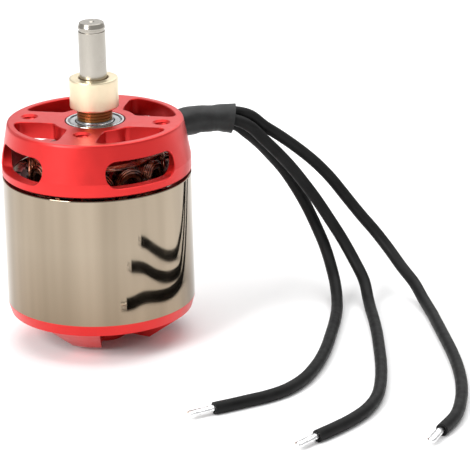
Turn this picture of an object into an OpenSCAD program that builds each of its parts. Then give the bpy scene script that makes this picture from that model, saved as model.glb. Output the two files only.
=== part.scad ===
// Brushless outrunner motor, standing on its rotor hub with the shaft pointing up.
// The origin is on the shaft's axis, in the plane of the mounting face. +Z runs along the
// shaft and away from the motor, and the 25 mm pair of mounting holes lies along X.

/* [Body] */
// Diameter of the can, and of the end cap where it meets the can
can_d = 35; // [34:0.5:36]
// Length from the mounting face to the end of the rotor hub
body_l = 42; // [42:0.5:44]
// Diameter of the shaft
shaft_d = 5; // [5:0.01:5.01]

/* [End cap] */
// Diameter of the mounting face
face_d = 32.6; // [32:0.1:33]
// Depth of the whole cap, from the mounting face to its lower edge
cap_h = 9.5; // [9:0.1:9.7]
// Depth at which the cap's sloping side reaches its full diameter
slope_h = 7; // [6:0.5:8]
// Thickness of the cap's face plate
plate_t = 3; // [2.4:0.1:3]
// Thickness of the cap's side wall
skirt_t = 1.9; // [1.5:0.1:2]
// Width of each arm between two kidney openings
arm_w = 7; // [6.5:0.1:7.5]
// Inner radius of the kidney openings
kidney_in_r = 7.65; // [7.4:0.05:8]
// Outer radius of the kidney openings
kidney_out_r = 14.9; // [14.5:0.1:15]
// Corner radius of the kidney openings
kidney_round = 1.2; // [0.8:0.1:1.5]
// Width of each side window
window_w = 14.4; // [12:0.1:15]
// Height of each side window
window_h = 4.9; // [4.4:0.1:4.9]
// Corner radius of the side windows
window_round = 2.2; // [1.5:0.1:2.2]

/* [Mounting holes] */
// Distance between the two holes along X
holes_x = 25; // [24.5:0.1:25]
// Distance between the two holes along Y
holes_y = 19; // [19:0.1:20]
// Radius of the tapped holes
hole_r = 1.25; // [1.2:0.05:1.3]

/* [Stator] */
// Number of stator slots
slots = 12; // [12:12:12]
// Outer radius of the laminated core
core_r = 14; // [13.8:0.1:14.1]
// Length of the laminated core
core_l = 20; // [18:0.5:20]
// Width of each stator tooth
tooth_w = 2; // [1.8:0.1:2.2]
// Outer radius of the bearing tube that carries the core
tube_r = 6.8; // [6.6:0.1:6.9]

/* [Rotor] */
// Length of the can
can_l = 24; // [23.8:0.1:24]
// Wall thickness of the can
can_t = 1.3; // [1.2:0.05:1.3]
// Number of magnets
magnets_n = 14; // [14:14:14]
// Thickness of the magnets
magnet_t = 1.85; // [1.6:0.05:1.85]
// Half the angle that one bell arm spans
bell_arm_half = 15.7; // [12:0.1:20]
// Angle of the first bell arm from X
bell_turn = -3; // [-45:1:45]
// Radius of the bell's flat underside
bell_flat_r = 10.3; // [9:0.1:12]
// Radius of the rotor hub
hub_r = 4.6; // [4.4:0.1:4.8]

/* [Shaft and collar] */
// Height of the shaft's tip above the mounting face
shaft_top = 18.5; // [18:0.5:25]
// Height of the collar's upper face above the mounting face
collar_top = 8.1; // [7.5:0.1:8.5]
// Height of the collar's lower shoulder above the mounting face
collar_low = 2.5; // [2:0.1:3]
// Diameter of the collar
collar_d = 9; // [8.5:0.1:9.5]

/* [Leads] */
// Outer diameter of each lead
lead_d = 2.3; // [2.2:0.1:2.3]
// Diameter of the tinned end of each lead
tip_d = 1.3; // [1:0.1:1.5]
// Length of the tinned end of each lead
tip_l = 4.8; // [4:0.1:6]

/* [Hidden] */
$fn = 96;
past = 1;                                // how far a cut runs past the wall it opens

shaft_r = shaft_d / 2;
can_r = can_d / 2;

// Heights, all measured from the mounting face.
can_high = -cap_h - 0.55;                // upper rim of the can
can_low = can_high - can_l;              // where the can meets the bell's red band
band_low = can_low - 2.05;               // lower edge of the band
bell_low = 1 - body_l;                   // flat underside of the bell
hub_low = -body_l;                       // end of the hub, on which the motor stands
core_high = -10;
core_low = core_high - core_l;
core_mid = (core_high + core_low) / 2;

// Bearings, 5 x 11 x 4 mm, at both ends of the tube.
bearing_r = 5.5;
bearing_h = 4;
race_in_r = 3.45;                        // outside of the inner ring
race_out_r = 4.65;                       // inside of the outer ring
ball_r = 0.75;
ball_pitch_r = 4.05;
ball_play = 0.02;
balls_n = 9;
shield_in_r = 3.6;
shield_out_r = 4.95;
shield_t = 0.25;
shield_deep = 0.15;                      // how far a shield lies below the ring's face
cage_half_w = 0.25;
cage_half_h = 1;
tube_low = -33;                          // lower end of the bearing tube
tube_bore_r = 4.6;                       // shoulder between the two bearing seats
upper_mid = -bearing_h / 2;
lower_mid = tube_low + bearing_h / 2;

edge = 0.4;                              // chamfer around the mounting face
skirt_r = can_r - skirt_t;
window_mid = -5.55;
hole_mouth_r = hole_r + 0.4;

back_iron_r = 8.8;
tip_in_r = 13.1;
slot_mouth = 1.6;
slot_pitch = 360 / slots;
coil_in_r = 9;
coil_out_r = 12.6;
coil_w = 6.4;
coil_h = core_l + 7.2;
coil_round = 3;
coil_half_angle = 14.6;
first_coil = 15;                         // a coil lies behind each opening's middle

magnet_out_r = can_r - can_t;
magnet_l = 20;
magnet_low = -31;
magnet_gap = 1.2;

spigot_high = magnet_low - 0.2;
spigot_in_r = 14.9;
bell_wall = 2;                           // thickness of the bell's arms, along Z
hub_fillet_r = 5;
hub_high = -33.7;
arm_round = 0.8;
hub_screw_z = -38;
hub_screw_r = 1.25;
hub_screw_angles = [bell_turn - 45, bell_turn + 45];
screw_flat_r = 2.2;                      // distance of the shaft's flats from its axis

groove_low = 16.85;                      // clip groove near the shaft's tip
groove_w = 0.5;
groove_r = shaft_r - 0.22;
relief_w = 0.5;                          // groove just inside the collar's mouth
relief_r = shaft_r - 0.2;
tip_chamfer_h = 0.8;
tip_chamfer_r = shaft_r - 0.3;
shaft_low = hub_low + 0.2;

shim_t = 0.25;
neck_r = 3.25;
collar_r = collar_d / 2;
collar_screw_z = (collar_low + collar_top) / 2;
collar_screw_angle = 90;
collar_screw_r = 1;

// The heat-shrink sleeve: points along its middle, from just outside the coils, through the
// window, to the leads, and half its width and height at each of them.
sleeve_path = [[8, 11, -5.5], [9, 12.7, -5.5], [10.1, 14.3, -5.5], [11.5, 16.2, -5.4],
               [13.1, 17.9, -5.3], [15, 19.4, -5.3], [17, 20.5, -5.4], [19.2, 21.4, -5.5],
               [21.5, 22.1, -5.7]];
sleeve_half = [[2.7, 2.2], [2.7, 2.2], [2.7, 2.2], [2.75, 2.45], [2.8, 2.7], [2.75, 2.6],
               [2.7, 2.55], [2.75, 2.7], [2.85, 2.85]];
sleeve_t = 0.3;
sleeve_sides = 24;
tail_r = 0.6;
tail_sides = 12;
tail_from = [[6.6, 8.4, -5.6], [7.9, 7.4, -5.6], [5.4, 9.2, -5.6]];
tail_row = [0, 1.42, -1.42];             // places of the tails across the sleeve's inner end

// Routes of the leads, from the sleeve down to the surface and along it.
lead_r = lead_d / 2;
lead_sides = 8;
rest_z = hub_low + lead_r;
route_a = [[21.3, 22.6, -7], [23.3, 23.9, -8.9], [25.2, 26.2, -11.6], [27, 28.7, -14.8],
           [29.1, 30.5, -18.2], [31.3, 31.2, -21.9], [33.4, 31.1, -25.6], [35.3, 30.4, -29.2],
           [37.3, 28.7, -32.7], [39, 26.2, -36], [40.4, 23, -38.6], [41.4, 19, -40.3],
           [42.1, 14.5, rest_z], [42.7, 8.5, rest_z], [43.1, 2, rest_z], [43.4, -5, rest_z],
           [43.2, -12, rest_z], [42.2, -19, rest_z], [40.1, -24.6, rest_z],
           [37.2, -28.4, rest_z], [34.3, -30.9, rest_z], [31.6, -33.2, rest_z],
           [29, -35.3, rest_z]];
route_b = [[22, 20.8, -5.6], [24.6, 21.6, -7.1], [26.7, 23.1, -9.8], [29.1, 24.5, -12.8],
           [31.4, 25.9, -16], [33.6, 27.2, -19.5], [36, 28.1, -23.3], [38.4, 28.6, -27.3],
           [40.9, 28.4, -31.2], [43.4, 27, -34.9], [45.7, 24.4, -37.9], [47.1, 20.7, -40.1],
           [48.4, 16.3, rest_z], [50, 10.5, rest_z], [51.6, 4, rest_z], [53.1, -3, rest_z],
           [54.5, -10, rest_z], [55.7, -17.5, rest_z], [56.3, -24.8, rest_z],
           [55.6, -31, rest_z], [53.8, -36.2, rest_z], [51.5, -40.5, rest_z],
           [49, -44.5, rest_z]];
route_c = [[21.4, 22.9, -4.6], [24.1, 24.1, -5.6], [26.5, 25.5, -8], [29.3, 27.3, -10.5],
           [32.2, 29.3, -13.4], [35.1, 31.2, -16.6], [37.9, 32.7, -20.2], [40.7, 33.5, -24.1],
           [43.6, 33.7, -27.8], [46.6, 33.1, -31], [49.5, 31.7, -34], [52.4, 29.1, -36.6],
           [55.3, 26, -38.6], [57.6, 22, -40.2], [59.7, 17.3, rest_z], [61.9, 11, rest_z],
           [64.3, 4, rest_z], [66.6, -3, rest_z], [68.6, -10, rest_z], [70.2, -17.5, rest_z],
           [71.1, -25, rest_z], [71.1, -32, rest_z], [69.6, -38.5, rest_z]];

// A straight tube between two heights.
module tube(outer_r, inner_r, low_z, high_z) {
    translate([0, 0, low_z])
        linear_extrude(high_z - low_z)
            difference() {
                circle(r = outer_r);
                circle(r = inner_r);
            }
}

// A rectangle with round corners, centred on the origin.
module rounded_slot(width, height, corner_r) {
    square([width - 2 * corner_r, height], center = true);
    square([width, height - 2 * corner_r], center = true);
    for (x = [-1, 1], y = [-1, 1])
        translate([x * (width / 2 - corner_r), y * (height / 2 - corner_r)])
            circle(r = corner_r);
}

// A two-sided wedge that opens along +X from the origin.
module wedge(half_angle, reach) {
    side = reach * tan(half_angle);
    polygon([[0, 0], [reach, -side], [reach, side]]);
}

// Puts its children's Z axis on the line from one point to another.
module along(from, to) {
    step = to - from;
    translate(from)
        rotate([0, acos(step[2] / norm(step)), atan2(step[1], step[0])])
            children();
}

// End cap: face plate, sloping skirt and bearing tube, turned from one piece.
module cap_blank() {
    rotate_extrude()
        polygon([[tube_bore_r, 0], [face_d / 2 - edge, 0], [face_d / 2, -edge],
                 [can_r, -slope_h], [can_r, 0.2 - cap_h], [can_r - 0.2, -cap_h],
                 [skirt_r, -cap_h], [skirt_r, -plate_t - 1], [skirt_r - 0.7, -plate_t],
                 [tube_r, -plate_t], [tube_r, tube_low], [tube_bore_r, tube_low]]);
}

module kidney_outline() {
    offset(r = kidney_round) offset(delta = -kidney_round)
        difference() {
            intersection() {
                circle(r = kidney_out_r);
                translate([arm_w / 2, arm_w / 2]) square(kidney_out_r);
            }
            circle(r = kidney_in_r);
        }
}

module tapped_hole() {
    translate([0, 0, -plate_t - past]) cylinder(r = hole_r, h = plate_t + 2 * past);
    translate([0, 0, hole_r - hole_mouth_r])
        cylinder(r1 = hole_r, r2 = hole_mouth_r + past, h = hole_mouth_r - hole_r + past);
}

module end_cap() {
    color("crimson")
        difference() {
            cap_blank();
            translate([0, 0, -bearing_h]) cylinder(r = bearing_r, h = bearing_h + past);
            translate([0, 0, tube_low - past]) cylinder(r = bearing_r, h = bearing_h + past);
            for (quarter = [0 : 90 : 270]) rotate(quarter) {
                translate([0, 0, -plate_t - past])
                    linear_extrude(plate_t + 2 * past) kidney_outline();
                rotate(45) translate([skirt_r - 2, 0, window_mid]) rotate([90, 0, 90])
                    linear_extrude(skirt_t + 4) rounded_slot(window_w, window_h, window_round);
            }
            for (side = [-1, 1]) {
                translate([side * holes_x / 2, 0, 0]) tapped_hole();
                translate([0, side * holes_y / 2, 0]) tapped_hole();
            }
        }
}

// Stator: laminated core with T-shaped teeth, and one coil around each tooth.
module lamination() {
    difference() {
        circle(r = back_iron_r);
        circle(r = tube_r);
    }
    for (i = [0 : slots - 1]) rotate(first_coil + i * slot_pitch)
        translate([back_iron_r - 0.5, -tooth_w / 2])
            square([tip_in_r - back_iron_r + 0.7, tooth_w]);
    difference() {
        circle(r = core_r);
        circle(r = tip_in_r);
        for (i = [0 : slots - 1]) rotate(first_coil + (i + 0.5) * slot_pitch)
            translate([tip_in_r - past, -slot_mouth / 2])
                square([core_r - tip_in_r + 2 * past, slot_mouth]);
    }
}

module stator_core() {
    color("dimgray") translate([0, 0, core_low]) linear_extrude(core_l) lamination();
}

module coil() {
    difference() {
        intersection() {
            translate([coil_in_r, 0, core_mid]) rotate([90, 0, 90])
                linear_extrude(coil_out_r - coil_in_r)
                    rounded_slot(coil_w, coil_h, coil_round);
            translate([0, 0, core_mid - coil_h]) linear_extrude(2 * coil_h)
                wedge(coil_half_angle, 2 * coil_out_r);
        }
        translate([coil_in_r - past, -tooth_w / 2, core_low])
            cube([coil_out_r - coil_in_r + 2 * past, tooth_w, core_l]);
    }
}

// Each phase has two neighbouring coils, and two more on the far side of the core.
module winding(first) {
    color("sienna")
        for (i = [first, first + 1, first + slots / 2, first + slots / 2 + 1])
            rotate(first_coil + i * slot_pitch) coil();
}

// A tube or rod with flat ends along a path. Each size is half the width and half the height.
function unit(v) = v / norm(v);
function heading(path, i) =
    unit(path[min(i + 1, len(path) - 1)] - path[max(i - 1, 0)]);
function side_of(way) = unit(cross(way, [0, 0, 1]));
function rise_of(way) = cross(side_of(way), way);
function ring(centre, way, size, sides) =
    [for (k = [0 : sides - 1])
        let (turn = (k + 0.5) * 360 / sides)
        centre + size[0] * cos(turn) * side_of(way) + size[1] * sin(turn) * rise_of(way)];

module swept(path, sizes, sides, first_way) {
    last = len(path) - 1;
    points = [for (i = [0 : last])
        each ring(path[i], i == 0 ? first_way : heading(path, i), sizes[i], sides)];
    walls = [for (i = [0 : last - 1], k = [0 : sides - 1])
        let (next = (k + 1) % sides, here = i * sides, far = here + sides)
        each [[here + k, here + next, far + k], [here + next, far + next, far + k]]];
    first_end = [for (k = [sides - 1 : -1 : 0]) k];
    last_end = [for (k = [0 : sides - 1]) last * sides + k];
    polyhedron(points = points, faces = concat(walls, [first_end, last_end]));
}

// A phase's conductors, bundled, from above the coils to the leads. Their places across the
// sleeve go from a row at its inner end to those of the leads at its outer end.
sleeve_last = len(sleeve_path) - 1;
sleeve_end = sleeve_path[sleeve_last];
sleeve_way = heading(sleeve_path, sleeve_last);
lead_starts = [route_a[0], route_b[0], route_c[0]];

function tail_point(i, station) =
    let (way = heading(sleeve_path, station), share = station / sleeve_last,
         off = lead_starts[i] - sleeve_end,
         across = (1 - share) * tail_row[i] + share * off * side_of(sleeve_way),
         above = share * off * rise_of(sleeve_way))
    sleeve_path[station] + across * side_of(way) + above * rise_of(way);

module phase_tail(i) {
    path = concat([tail_from[i]], [for (k = [0 : sleeve_last]) tail_point(i, k)]);
    color("peru")
        swept(path, [for (p = path) [tail_r, tail_r]], tail_sides, heading(path, 0));
}

// Bearings.
module outer_ring(mid) {
    color("gainsboro") translate([0, 0, mid]) rotate_extrude()
        difference() {
            translate([race_out_r, -bearing_h / 2])
                square([bearing_r - race_out_r, bearing_h]);
            translate([ball_pitch_r, 0]) circle(r = ball_r + ball_play);
            for (side = [-1, 1])
                translate([race_out_r, side * (bearing_h / 2 - (shield_deep + shield_t) / 2)])
                    square([2 * (shield_out_r - race_out_r), shield_deep + shield_t],
                           center = true);
        }
}

module inner_ring(mid) {
    color("gainsboro") translate([0, 0, mid]) rotate_extrude()
        difference() {
            translate([shaft_r, -bearing_h / 2]) square([race_in_r - shaft_r, bearing_h]);
            translate([ball_pitch_r, 0]) circle(r = ball_r + ball_play);
        }
}

module shields(mid) {
    color("silver") for (side = [-1, 1])
        translate([0, 0, mid + side * (bearing_h / 2 - shield_deep - shield_t / 2)])
            tube(shield_out_r, shield_in_r, -shield_t / 2, shield_t / 2);
}

module ball_row(mid, radius) {
    for (i = [0 : balls_n - 1]) rotate(i * 360 / balls_n)
        translate([ball_pitch_r, 0, mid]) sphere(r = radius, $fn = 32);
}

module balls(mid) {
    color("lightsteelblue") ball_row(mid, ball_r);
}

module cage(mid) {
    color("darkkhaki") difference() {
        tube(ball_pitch_r + cage_half_w, ball_pitch_r - cage_half_w,
             mid - cage_half_h, mid + cage_half_h);
        ball_row(mid, ball_r + 0.05);
    }
}

// Rotor: can with its magnets, and the bell that joins it to the shaft.
module flux_can() {
    bevel = 0.2;
    color("slategray") rotate_extrude()
        polygon([[magnet_out_r, can_low], [can_r, can_low], [can_r, can_high - bevel],
                 [can_r - bevel, can_high], [magnet_out_r + bevel, can_high],
                 [magnet_out_r, can_high - bevel]]);
}

module magnets() {
    color("darkgray") translate([0, 0, magnet_low]) linear_extrude(magnet_l)
        difference() {
            circle(r = magnet_out_r);
            circle(r = magnet_out_r - magnet_t);
            for (i = [0 : magnets_n - 1]) rotate(i * 360 / magnets_n)
                translate([magnet_out_r - magnet_t - past, -magnet_gap / 2])
                    square([magnet_t + 2 * past, magnet_gap]);
        }
}

module bell_blank() {
    rotate_extrude()
        polygon([[can_r, can_low], [can_r - 0.6, band_low], [bell_flat_r, bell_low],
                 [hub_r, bell_low], [hub_r, hub_low + 0.3], [hub_r - 0.3, hub_low],
                 [shaft_r + 0.2, hub_low], [shaft_r, hub_low + 0.2], [shaft_r, hub_high],
                 [hub_r, hub_high], [hub_r, bell_low + bell_wall],
                 [bell_flat_r - 0.5, bell_low + bell_wall], [spigot_in_r, band_low + 1],
                 [spigot_in_r, spigot_high], [magnet_out_r, spigot_high],
                 [magnet_out_r, can_low]]);
}

module bell_window() {
    offset(r = arm_round) offset(delta = -arm_round)
        difference() {
            wedge(45 - bell_arm_half, 2 * can_r);
            circle(r = hub_fillet_r);
        }
}

module bell() {
    color("crimson")
        difference() {
            bell_blank();
            for (quarter = [0 : 90 : 270]) rotate(bell_turn + 45 + quarter)
                translate([0, 0, hub_low - past]) linear_extrude(band_low - hub_low + past)
                    bell_window();
            for (angle = hub_screw_angles) rotate(angle)
                translate([0, 0, hub_screw_z]) rotate([0, 90, 0])
                    cylinder(r = hub_screw_r, h = hub_r + past);
        }
}

// A headless screw whose inner end lies at from_r, with a hex socket in its outer end.
module grub_screw(radius, from_r, to_r, z) {
    translate([from_r, 0, z]) rotate([0, 90, 0]) difference() {
        cylinder(r = radius, h = to_r - from_r);
        translate([0, 0, to_r - from_r - 1]) cylinder(r = 0.6 * radius, h = 2, $fn = 6);
    }
}

module hub_screws() {
    color("black") for (angle = hub_screw_angles) rotate(angle)
        grub_screw(hub_screw_r, screw_flat_r, hub_r - 0.2, hub_screw_z);
}

module hub_spacer() {
    color("silver") tube(race_in_r - 0.1, shaft_r, hub_high, tube_low);
}

// Shaft, with two flats under the hub screws, a relief groove and a clip groove.
module shaft() {
    flat_l = 2 * hub_screw_r + 1.5;
    color("silver") difference() {
        rotate_extrude()
            polygon([[0, shaft_low], [shaft_r - 0.3, shaft_low], [shaft_r, shaft_low + 0.3],
                     [shaft_r, collar_top - relief_w], [relief_r, collar_top - relief_w],
                     [relief_r, collar_top], [shaft_r, collar_top], [shaft_r, groove_low],
                     [groove_r, groove_low], [groove_r, groove_low + groove_w],
                     [shaft_r, groove_low + groove_w], [shaft_r, shaft_top - tip_chamfer_h],
                     [tip_chamfer_r, shaft_top], [0.5, shaft_top], [0, shaft_top - 0.5]]);
        for (angle = hub_screw_angles) rotate(angle)
            translate([screw_flat_r, -shaft_r, hub_screw_z - flat_l / 2])
                cube([shaft_r, shaft_d, flat_l]);
    }
}

module collar() {
    bevel = 0.25;
    neck_low = shim_t;
    color("khaki") difference() {
        rotate_extrude()
            polygon([[shaft_r, neck_low], [neck_r, neck_low], [neck_r, collar_low],
                     [collar_r - bevel, collar_low], [collar_r, collar_low + bevel],
                     [collar_r, collar_top - bevel], [collar_r - bevel, collar_top],
                     [shaft_r + bevel, collar_top], [shaft_r, collar_top - bevel]]);
        rotate(collar_screw_angle) translate([0, 0, collar_screw_z]) rotate([0, 90, 0])
            cylinder(r = collar_screw_r, h = collar_r + past);
    }
}

module collar_screw() {
    color("black") rotate(collar_screw_angle)
        grub_screw(collar_screw_r, shaft_r, collar_r - 0.2, collar_screw_z);
}

module collar_shim() {
    color("silver") tube(race_in_r - 0.1, shaft_r, 0, shim_t);
}

// Sleeve over the joints between the phase tails and the leads. The bore runs past both ends.
module heat_shrink() {
    inner_way = heading(sleeve_path, 0);
    bore_path = concat([sleeve_path[0] - past * inner_way], sleeve_path,
                       [sleeve_end + past * sleeve_way]);
    bore_half = [for (size = concat([sleeve_half[0]], sleeve_half, [sleeve_half[sleeve_last]]))
        size - [sleeve_t, sleeve_t]];
    color("black") difference() {
        swept(sleeve_path, sleeve_half, sleeve_sides, inner_way);
        swept(bore_path, bore_half, sleeve_sides, inner_way);
    }
}

module lead(route) {
    color("black")
        swept(route, [for (p = route) [lead_r, lead_r]], lead_sides, sleeve_way);
}

module lead_tip(route) {
    last = len(route) - 1;
    way = heading(route, last);
    color("gainsboro") along(route[last], route[last] + tip_l * way)
        cylinder(d = tip_d, h = tip_l);
}

end_cap();
stator_core();
winding(0);  // winding_a
winding(2);  // winding_b
winding(4);  // winding_c
phase_tail(0);  // phase_tail_a
phase_tail(1);  // phase_tail_b
phase_tail(2);  // phase_tail_c
outer_ring(upper_mid);  // upper_outer_ring
inner_ring(upper_mid);  // upper_inner_ring
shields(upper_mid);  // upper_shields
balls(upper_mid);  // upper_balls
cage(upper_mid);  // upper_cage
outer_ring(lower_mid);  // lower_outer_ring
inner_ring(lower_mid);  // lower_inner_ring
shields(lower_mid);  // lower_shields
balls(lower_mid);  // lower_balls
cage(lower_mid);  // lower_cage
flux_can();
magnets();
bell();
shaft();
hub_screws();
hub_spacer();
collar();
collar_screw();
collar_shim();
heat_shrink();
lead(route_a);  // lead_a
lead(route_b);  // lead_b
lead(route_c);  // lead_c
lead_tip(route_a);  // lead_tip_a
lead_tip(route_b);  // lead_tip_b
lead_tip(route_c);  // lead_tip_c
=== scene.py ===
"""Looks for a brushless outrunner motor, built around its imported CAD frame."""
import math
import random

import bpy
import numpy as np
from mathutils import Matrix, Vector


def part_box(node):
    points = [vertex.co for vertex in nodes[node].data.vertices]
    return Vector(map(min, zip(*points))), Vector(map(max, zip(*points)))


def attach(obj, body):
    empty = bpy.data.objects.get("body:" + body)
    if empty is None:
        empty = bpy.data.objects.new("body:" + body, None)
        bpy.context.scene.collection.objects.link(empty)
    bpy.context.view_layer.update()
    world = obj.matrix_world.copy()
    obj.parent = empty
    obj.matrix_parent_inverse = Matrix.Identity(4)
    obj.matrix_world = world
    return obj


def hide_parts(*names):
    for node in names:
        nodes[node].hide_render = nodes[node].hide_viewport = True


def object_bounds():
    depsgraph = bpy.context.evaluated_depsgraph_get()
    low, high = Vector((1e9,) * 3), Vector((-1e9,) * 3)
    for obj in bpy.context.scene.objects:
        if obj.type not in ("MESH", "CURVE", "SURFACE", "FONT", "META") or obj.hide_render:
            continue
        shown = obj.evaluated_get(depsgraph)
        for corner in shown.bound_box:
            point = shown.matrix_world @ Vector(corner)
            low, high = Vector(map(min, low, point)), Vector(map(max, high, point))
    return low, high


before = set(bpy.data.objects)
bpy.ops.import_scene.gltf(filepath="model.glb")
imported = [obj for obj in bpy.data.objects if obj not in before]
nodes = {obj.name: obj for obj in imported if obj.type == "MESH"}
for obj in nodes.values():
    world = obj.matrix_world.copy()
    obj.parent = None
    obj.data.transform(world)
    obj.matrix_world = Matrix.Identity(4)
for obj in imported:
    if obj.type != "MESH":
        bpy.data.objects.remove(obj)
cad_low, cad_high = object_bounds()

MM = 0.001
REST_Z = cad_low.z / MM                  # the surface that the motor stands on, in mm
TAU = 2 * math.pi


# ---------------------------------------------------------------- camera, light and floor

def make_camera():
    """A long lens, turned 12.2 degrees about the shaft and looking down by 19.4 degrees."""
    turn, pitch, roll = math.radians(12.2), math.radians(19.446), math.radians(-1.276)
    place = Vector((132.27, -492.41, 156.67)) * MM
    side = Vector((math.cos(turn), math.sin(turn), 0))
    ahead = Vector((-math.sin(turn) * math.cos(pitch), math.cos(turn) * math.cos(pitch),
                    -math.sin(pitch)))
    rise = side.cross(ahead)
    right = math.cos(roll) * side + math.sin(roll) * rise
    up = math.cos(roll) * rise - math.sin(roll) * side
    data = bpy.data.cameras.new("camera")
    data.sensor_width = 36
    data.lens = 222.1
    data.clip_start, data.clip_end = 0.01, 20
    camera = bpy.data.objects.new("camera", data)
    bpy.context.scene.collection.objects.link(camera)
    camera.matrix_world = Matrix(((right.x, up.x, -ahead.x, place.x),
                                  (right.y, up.y, -ahead.y, place.y),
                                  (right.z, up.z, -ahead.z, place.z),
                                  (0, 0, 0, 1)))
    bpy.context.scene.camera = camera


def area_light(name, place, target, size, power):
    data = bpy.data.lights.new(name, "AREA")
    data.shape = "RECTANGLE"
    data.size, data.size_y = size
    data.energy = power
    light = bpy.data.objects.new(name, data)
    bpy.context.scene.collection.objects.link(light)
    light.location = place
    light.rotation_euler = (Vector(target) - Vector(place)).to_track_quat("-Z", "Y").to_euler()


def make_studio():
    """A white surround, a white floor and two soft lights."""
    bpy.context.scene.view_settings.view_transform = "Standard"
    world = bpy.data.worlds.new("studio")
    bpy.context.scene.world = world
    world.use_nodes = True
    sky = world.node_tree.nodes["Background"]
    sky.inputs["Color"].default_value = (1, 1, 1, 1)
    sky.inputs["Strength"].default_value = 0.58
    middle = (0.01, 0, -0.02)
    area_light("key", (-0.38, -0.6, 0.4), middle, (0.35, 0.45), 6)
    area_light("top", (0.05, 0.25, 1.0), middle, (1.2, 1.2), 10)
    area_light("back", (0.1, 1.1, 0.55), middle, (1.0, 0.35), 1.2)

    half = 4
    floor = mesh_object("floor", [(-half, -half, REST_Z * MM), (half, -half, REST_Z * MM),
                                  (half, half, REST_Z * MM), (-half, half, REST_Z * MM)],
                        [(0, 1, 2, 3)])
    material = bpy.data.materials.new("floor")
    material.use_nodes = True
    surface = material.node_tree.nodes["Principled BSDF"]
    surface.inputs["Base Color"].default_value = (0.93, 0.93, 0.93, 1)
    surface.inputs["Roughness"].default_value = 0.9
    surface.inputs["Specular IOR Level"].default_value = 0.1
    floor.data.materials.append(material)


# ---------------------------------------------------------------- meshes

def mesh_object(name, points, faces):
    """A new object from points in metres."""
    mesh = bpy.data.meshes.new(name)
    mesh.from_pydata([tuple(p) for p in points], [], faces)
    mesh.validate()
    mesh.update()
    obj = bpy.data.objects.new(name, mesh)
    bpy.context.scene.collection.objects.link(obj)
    return obj


def smooth(obj, angle=32):
    """Smooth shading, with edges sharper than the angle kept crisp."""
    obj.data.shade_smooth()
    obj.data.set_sharp_from_angle(angle=math.radians(angle))
    return obj


def finish_piece(obj, body, material, replaced=()):
    """Gives a piece its finish and its body, and hides the CAD nodes that it stands for."""
    obj.data.materials.clear()
    obj.data.materials.append(material)
    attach(obj, body)
    if replaced:
        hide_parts(*replaced)
    return obj


def held(profile, closed=True, margin=0.04):
    """The profile with a point close to each end of its long lines, so that these shade flat."""
    out = []
    count = len(profile)
    for i in range(count):
        start, end = np.array(profile[i]), np.array(profile[(i + 1) % count])
        out.append(tuple(start))
        span = np.linalg.norm(end - start)
        if span > 6 * margin and (closed or i < count - 1):
            step = (end - start) / span * margin
            out += [tuple(start + step), tuple(end - step)]
    return out


def lathe(name, profile, segments=192):
    """A closed profile of (radius, height) points in mm, turned about the Z axis."""
    profile = held(profile)
    rows = len(profile)
    angles = [TAU * k / segments for k in range(segments)]
    points = [(r * math.cos(a) * MM, r * math.sin(a) * MM, z * MM)
              for a in angles for r, z in profile]
    faces = []
    for k in range(segments):
        here, there = k * rows, (k + 1) % segments * rows
        for i in range(rows):
            j = (i + 1) % rows
            faces.append((here + i, there + i, there + j, here + j))
    return mesh_object(name, points, faces)


def lathe_solid(name, profile, segments=128):
    """An open profile whose first and last points lie on the axis."""
    inner = held(profile[1:-1], False)
    rows = len(inner)
    points = [(r * math.cos(TAU * k / segments) * MM, r * math.sin(TAU * k / segments) * MM,
               z * MM) for k in range(segments) for r, z in inner]
    first, last = len(points), len(points) + 1
    points += [(0, 0, profile[0][1] * MM), (0, 0, profile[-1][1] * MM)]
    faces = []
    for k in range(segments):
        here, there = k * rows, (k + 1) % segments * rows
        faces += [(here + i, there + i, there + i + 1, here + i + 1) for i in range(rows - 1)]
        faces += [(first, there, here), (last, here + rows - 1, there + rows - 1)]
    return mesh_object(name, points, faces)


def loft(name, rings):
    """A closed solid through rings with the same number of points, in mm."""
    count = len(rings[0])
    points = [Vector(p) * MM for ring in rings for p in ring]
    faces = [tuple(range(count - 1, -1, -1)),
             tuple(range((len(rings) - 1) * count, len(rings) * count))]
    for i in range(len(rings) - 1):
        for k in range(count):
            n = (k + 1) % count
            faces.append((i * count + k, i * count + n, (i + 1) * count + n,
                          (i + 1) * count + k))
    return mesh_object(name, points, faces)


def arc(centre, radius, start, end, steps):
    """Points on an arc in a plane, both ends included, angles in radians."""
    return [(centre[0] + radius * math.cos(start + (end - start) * i / steps),
             centre[1] + radius * math.sin(start + (end - start) * i / steps))
            for i in range(steps + 1)]


def carve(target, cutters):
    """Cuts each cutter out of the target and removes the cutters."""
    for cutter in cutters:
        modifier = target.modifiers.new("cut", "BOOLEAN")
        modifier.operation = "DIFFERENCE"
        modifier.solver = "MANIFOLD"
        modifier.object = cutter
    bpy.context.view_layer.update()
    graph = bpy.context.evaluated_depsgraph_get()
    carved = bpy.data.meshes.new_from_object(target.evaluated_get(graph))
    target.modifiers.clear()
    target.data = carved
    for cutter in cutters:
        bpy.data.objects.remove(cutter)
    return target


def turned(points, angle):
    """Points in mm, turned about Z by an angle in degrees."""
    c, s = math.cos(math.radians(angle)), math.sin(math.radians(angle))
    return [(c * x - s * y, s * x + c * y, z) for x, y, z in points]


def joined(name, parts):
    """One mesh object from several (points, faces) pairs, points in mm."""
    points, faces = [], []
    for part_points, part_faces in parts:
        start = len(points)
        points += [Vector(p) * MM for p in part_points]
        faces += [tuple(start + i for i in face) for face in part_faces]
    return mesh_object(name, points, faces)


# ---------------------------------------------------------------- tubes along a path

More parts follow.
